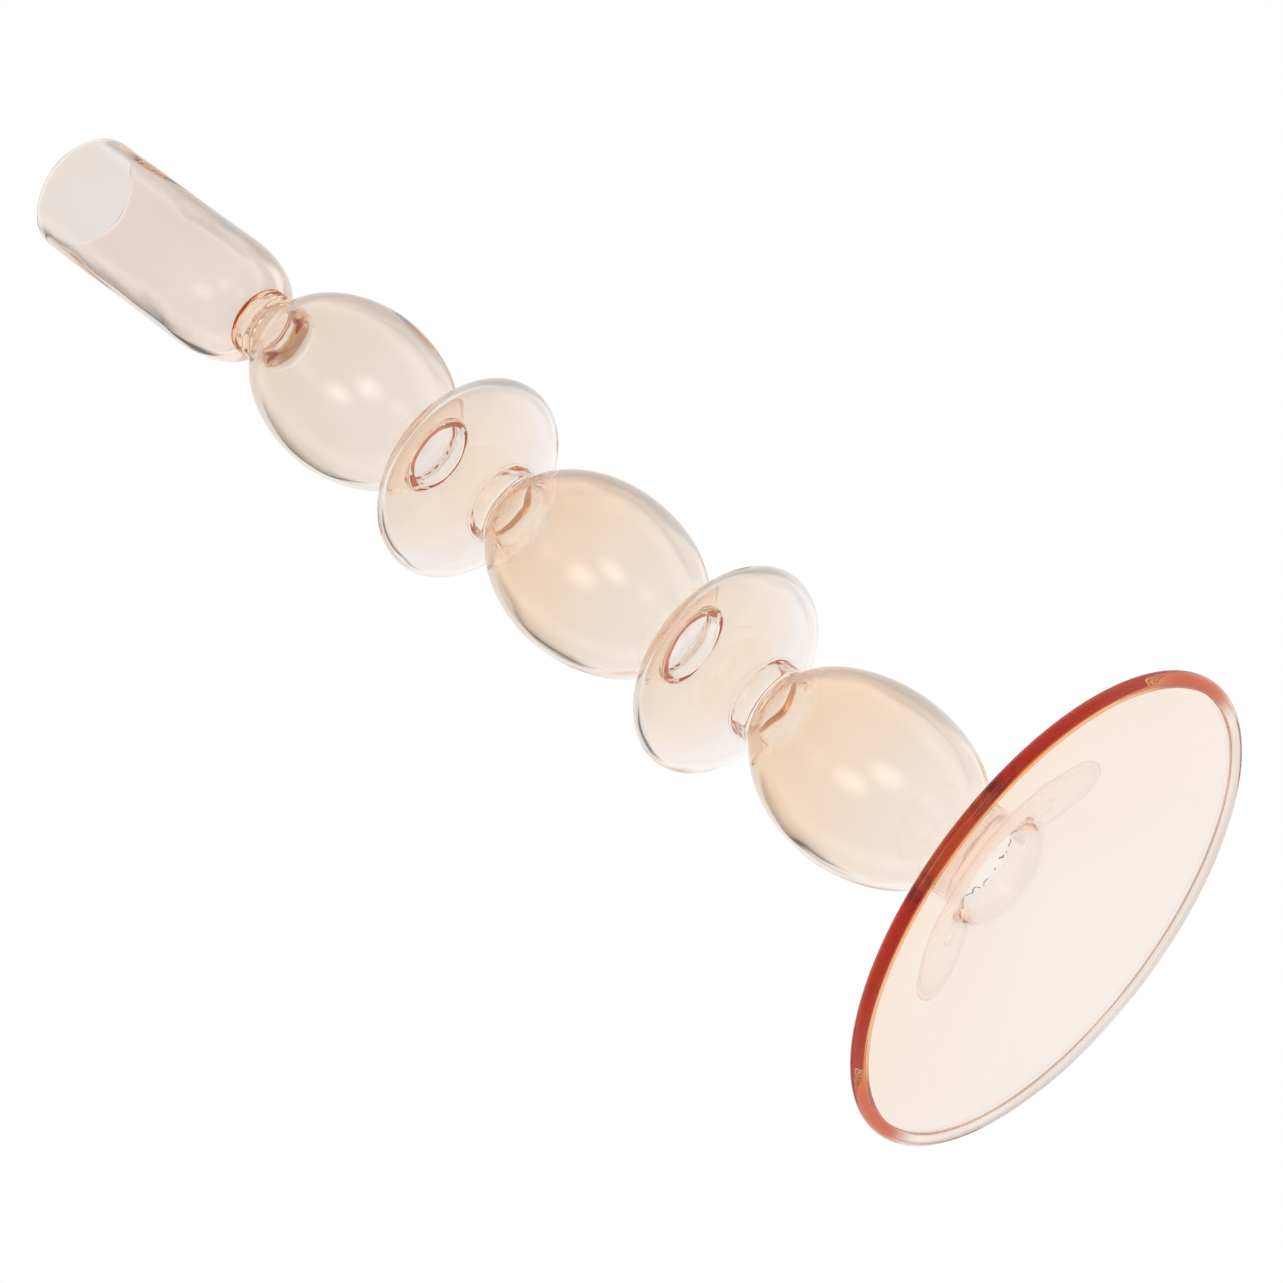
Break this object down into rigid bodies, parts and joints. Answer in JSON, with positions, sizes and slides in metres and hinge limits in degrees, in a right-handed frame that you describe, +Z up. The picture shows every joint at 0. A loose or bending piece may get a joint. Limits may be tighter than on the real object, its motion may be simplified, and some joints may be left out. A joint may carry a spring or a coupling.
{
  "type": "glass candlestick",
  "caption": "Tall lampworked candlestick of pale amber glass: candle cup, stem of rounded bulbs and flat discs, dished round foot with a beaded rim.",
  "frame": {"origin": "centre of the circle on which the foot's rim stands", "axes": "+Z up along the axis of revolution, from the foot to the cup's mouth; X and Y are free"},
  "size_m": [0.09, 0.09, 0.26],
  "materials": {
    "cup_glass": "fire-polished, pale amber",
    "bulb_glass": "fire-polished, pale amber",
    "disc_glass": "fire-polished, pale amber",
    "foot_glass": "fire-polished, pale amber",
    "seal_glass": "fire-polished, amber where it is thicker",
    "thick_glass": "fire-polished, deep amber in thick glass",
    "rim_glass": "fire-polished, red-brown edge of amber glass"
  },
  "bodies": {
    "root": {"candle_cup": "cup_glass", "cup_seal": "thick_glass", "upper_bulb": "bulb_glass", "upper_bulb_seal": "seal_glass", "upper_disc": "disc_glass", "upper_disc_seal": "seal_glass", "middle_bulb": "bulb_glass", "middle_bulb_seal": "seal_glass", "lower_disc": "disc_glass", "lower_disc_seal": "seal_glass", "lower_bulb": "bulb_glass", "foot_seal": "seal_glass", "foot_plate": "foot_glass", "foot_rim": "rim_glass"}
  },
  "joints": []
}
